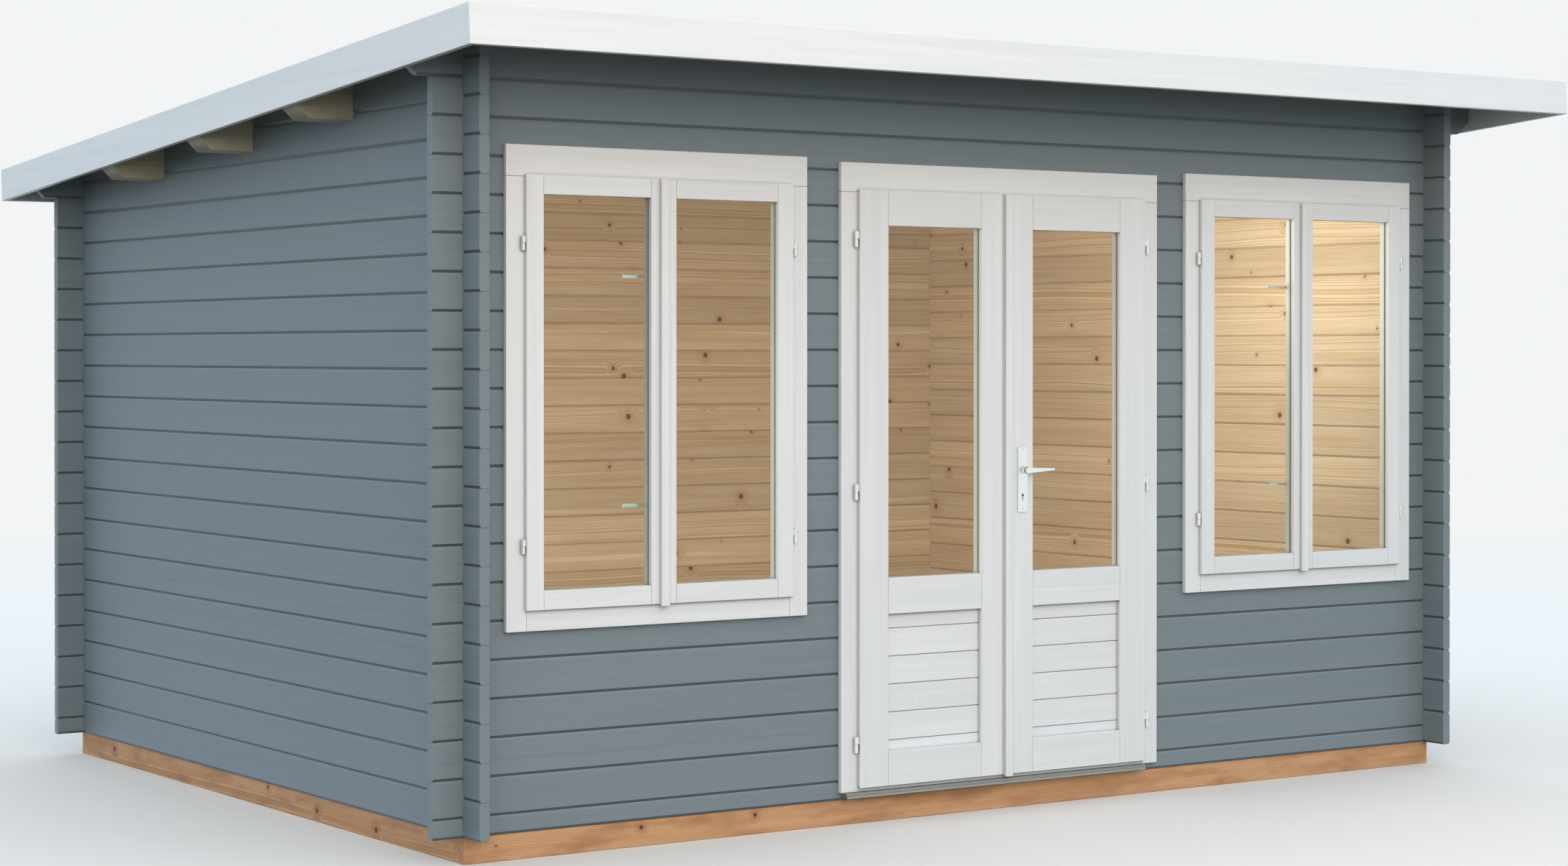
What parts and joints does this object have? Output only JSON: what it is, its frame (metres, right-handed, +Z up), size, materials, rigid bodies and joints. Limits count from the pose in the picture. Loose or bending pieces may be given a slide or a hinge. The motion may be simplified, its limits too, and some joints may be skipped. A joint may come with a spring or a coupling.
{
  "type": "garden office pod",
  "caption": "Small timber cabin of interlocking horizontal logs with a single slope roof, casement windows and a glazed double door.",
  "frame": {"origin": "centre of the bounding box in plan, on the level ground under the beams", "axes": "+X along the front wall towards its right end as seen from outside, +Y from the front to the back, +Z up"},
  "size_m": [4.44, 3.681, 2.4687],
  "materials": {
    "painted_logs": "blue-grey paint outside, natural spruce inside",
    "white_trim": "white paint",
    "painted_joinery": "off-white paint outside, natural spruce inside",
    "beam_timber": "planed impregnated pine",
    "floor_timber": "planed spruce boards",
    "purlin_timber": "planed spruce",
    "roof_timber": "planed spruce boards",
    "roof_felt": "mineral roofing felt",
    "clear_glass": "clear float glass",
    "satin_steel": "satin nickel plate",
    "ribbed_aluminium": "ribbed mill finish"
  },
  "bodies": {
    "cabin": {"foundation_beams": "beam_timber", "floor_boards": "floor_timber", "purlins": "purlin_timber", "roof_boards": "roof_timber", "roof_felt": "roof_felt", "front_fascia": "white_trim", "back_fascia": "white_trim", "left_bargeboard": "white_trim", "right_bargeboard": "white_trim", "front_wall_logs_a": "painted_logs", "front_wall_logs_b": "painted_logs", "back_wall_logs_a": "painted_logs", "back_wall_logs_b": "painted_logs", "left_wall_logs_a": "painted_logs", "left_wall_logs_b": "painted_logs", "right_wall_logs_a": "painted_logs", "right_wall_logs_b": "painted_logs", "left_window_casing": "painted_joinery", "left_window_frame": "painted_joinery", "left_window_sashes": "painted_joinery", "left_window_glass": "clear_glass", "left_window_cover_strip": "painted_joinery", "left_window_fittings": "satin_steel", "right_window_casing": "painted_joinery", "right_window_frame": "painted_joinery", "right_window_sashes": "painted_joinery", "right_window_glass": "clear_glass", "right_window_cover_strip": "painted_joinery", "right_window_fittings": "satin_steel", "door_casing": "painted_joinery", "door_frame": "painted_joinery", "door_threshold": "ribbed_aluminium", "door_hinge_pins": "satin_steel"},
    "left_leaf": {"left_leaf_frame": "painted_joinery", "left_leaf_panel": "painted_joinery", "left_leaf_glass": "clear_glass", "left_leaf_knuckles": "satin_steel"},
    "right_leaf": {"right_leaf_frame": "painted_joinery", "right_leaf_panel": "painted_joinery", "right_leaf_glass": "clear_glass", "right_leaf_knuckles": "satin_steel", "door_cover_strip": "painted_joinery", "door_handle_plates": "satin_steel"},
    "lever": {"door_lever": "satin_steel"}
  },
  "joints": [
    {"name": "left_leaf_hinge", "type": "hinge", "parent": "cabin", "child": "left_leaf", "pos_m": [-0.603, -1.4165, 1.0575], "axis": [0, 0, -1], "range_deg": [0, 110]},
    {"name": "right_leaf_hinge", "type": "hinge", "parent": "cabin", "child": "right_leaf", "pos_m": [0.613, -1.4165, 1.0575], "axis": [0, 0, 1], "range_deg": [0, 110]},
    {"name": "lever_turn", "type": "hinge", "parent": "right_leaf", "child": "lever", "pos_m": [0.06625, -1.4225, 1.113], "axis": [0, 1, 0], "range_deg": [0, 45], "stiffness_Nm_per_rad": 0.6, "springref_deg": -34.38}
  ]
}
